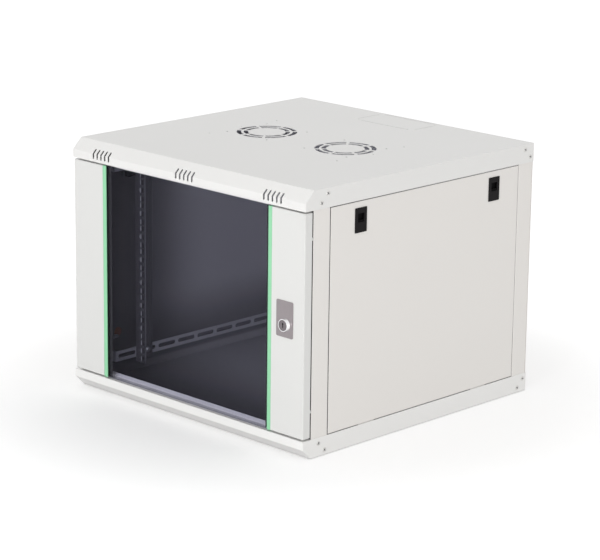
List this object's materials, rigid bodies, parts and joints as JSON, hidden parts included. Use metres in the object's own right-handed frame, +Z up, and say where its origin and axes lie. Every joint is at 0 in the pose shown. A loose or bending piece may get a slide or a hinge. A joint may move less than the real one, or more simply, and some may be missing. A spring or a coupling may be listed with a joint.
{
  "type": "wall mount network cabinet",
  "caption": "Wall mount network cabinet with a hinged tinted glass door, lift-out side panels on slide latches, adjustable rack rails, fan vents and cable knock-outs.",
  "frame": {"origin": "middle of the footprint of the covers on the underside of the bottom cover", "axes": "+Z up, -Y towards the door, +X towards the lock side of the door as seen from the front"},
  "size_m": [0.6032, 0.6035, 0.476],
  "materials": {
    "cabinet_paint": "pale grey powder coat, fine grain, low sheen",
    "rail_paint": "pale grey powder coat",
    "zinc_sheet": "zinc plated sheet, satin",
    "black_plastic": "black moulded plastic, fine grain",
    "tinted_glass": "dark tinted toughened glass, polished",
    "green_strip": "light green extruded plastic, smooth",
    "lock_plate_metal": "satin plated plate",
    "lock_chrome": "bright chrome plating",
    "white_plastic": "white moulded plastic",
    "plated_steel": "zinc plated steel, satin"
  },
  "bodies": {
    "cabinet": {"bar_bolts": "plated_steel", "bar_nuts": "plated_steel", "bottom_cover": "cabinet_paint", "corner_screws": "plated_steel", "depth_bar_lower_left": "zinc_sheet", "depth_bar_lower_right": "zinc_sheet", "depth_bar_upper_left": "zinc_sheet", "depth_bar_upper_right": "zinc_sheet", "door_bumpers": "white_plastic", "earth_nut": "plated_steel", "earth_stud": "plated_steel", "earth_washer": "plated_steel", "front_post_left": "cabinet_paint", "front_post_right": "cabinet_paint", "hinge_washer": "white_plastic", "rear_panel": "cabinet_paint", "rear_panel_screws": "plated_steel", "rear_post_left": "cabinet_paint", "rear_post_right": "cabinet_paint", "top_cover": "cabinet_paint"},
    "door": {"door_glass": "tinted_glass", "door_stile_left": "cabinet_paint", "door_stile_right": "cabinet_paint", "glass_strip_left": "green_strip", "glass_strip_right": "green_strip", "hinge_bracket": "plated_steel", "hinge_pin_lower": "plated_steel", "hinge_spring": "plated_steel", "lock_barrel": "lock_chrome", "lock_nut": "plated_steel", "lock_plate": "lock_plate_metal"},
    "lock": {"lock_cam": "plated_steel", "lock_cam_screw": "plated_steel", "lock_core": "lock_chrome"},
    "hinge_pin": {"hinge_pin_upper": "plated_steel"},
    "panel_left": {"latch_housing_left_front": "black_plastic", "latch_housing_left_rear": "black_plastic", "side_panel_left": "cabinet_paint"},
    "panel_right": {"latch_housing_right_front": "black_plastic", "latch_housing_right_rear": "black_plastic", "side_panel_right": "cabinet_paint"},
    "slider_left_front": {"latch_slider_left_front": "black_plastic"},
    "slider_left_rear": {"latch_slider_left_rear": "black_plastic"},
    "slider_right_front": {"latch_slider_right_front": "black_plastic"},
    "slider_right_rear": {"latch_slider_right_rear": "black_plastic"},
    "rail_left": {"rack_rail_left": "rail_paint", "rail_bolts_left": "plated_steel", "rail_nuts_left": "plated_steel"},
    "rail_right": {"rack_rail_right": "rail_paint", "rail_bolts_right": "plated_steel", "rail_nuts_right": "plated_steel"}
  },
  "joints": [
    {"name": "door_hinge", "type": "hinge", "parent": "cabinet", "child": "door", "pos_m": [-0.292, -0.291, 0.238], "axis": [0, 0, -1], "range_deg": [0, 180]},
    {"name": "lock_turn", "type": "hinge", "parent": "door", "child": "lock", "pos_m": [0.252, -0.28, 0.235], "axis": [0, -1, 0], "range_deg": [0, 90]},
    {"name": "hinge_pin_release", "type": "slide", "parent": "door", "child": "hinge_pin", "axis": [0, 0, -1], "range_m": [0, 0.008], "stiffness_N_per_m": 200, "springref_m": -0.015, "deforming": ["hinge_spring"]},
    {"name": "panel_left_tilt", "type": "hinge", "parent": "cabinet", "child": "panel_left", "pos_m": [-0.2988, 0.0105, 0.0353], "axis": [0, -1, 0], "range_deg": [0, 25]},
    {"name": "panel_right_tilt", "type": "hinge", "parent": "cabinet", "child": "panel_right", "pos_m": [0.2988, 0.0105, 0.0353], "axis": [0, 1, 0], "range_deg": [0, 25]},
    {"name": "latch_left_front_slide", "type": "slide", "parent": "panel_left", "child": "slider_left_front", "axis": [0, 0, 1], "range_m": [0, 0.01]},
    {"name": "latch_left_rear_slide", "type": "slide", "parent": "panel_left", "child": "slider_left_rear", "axis": [0, 0, 1], "range_m": [0, 0.01]},
    {"name": "latch_right_front_slide", "type": "slide", "parent": "panel_right", "child": "slider_right_front", "axis": [0, 0, 1], "range_m": [0, 0.01]},
    {"name": "latch_right_rear_slide", "type": "slide", "parent": "panel_right", "child": "slider_right_rear", "axis": [0, 0, 1], "range_m": [0, 0.01]},
    {"name": "rail_left_shift", "type": "slide", "parent": "cabinet", "child": "rail_left", "axis": [0, 1, 0], "range_m": [-0.017, 0.017]},
    {"name": "rail_right_shift", "type": "slide", "parent": "cabinet", "child": "rail_right", "axis": [0, 1, 0], "range_m": [-0.017, 0.017]}
  ]
}
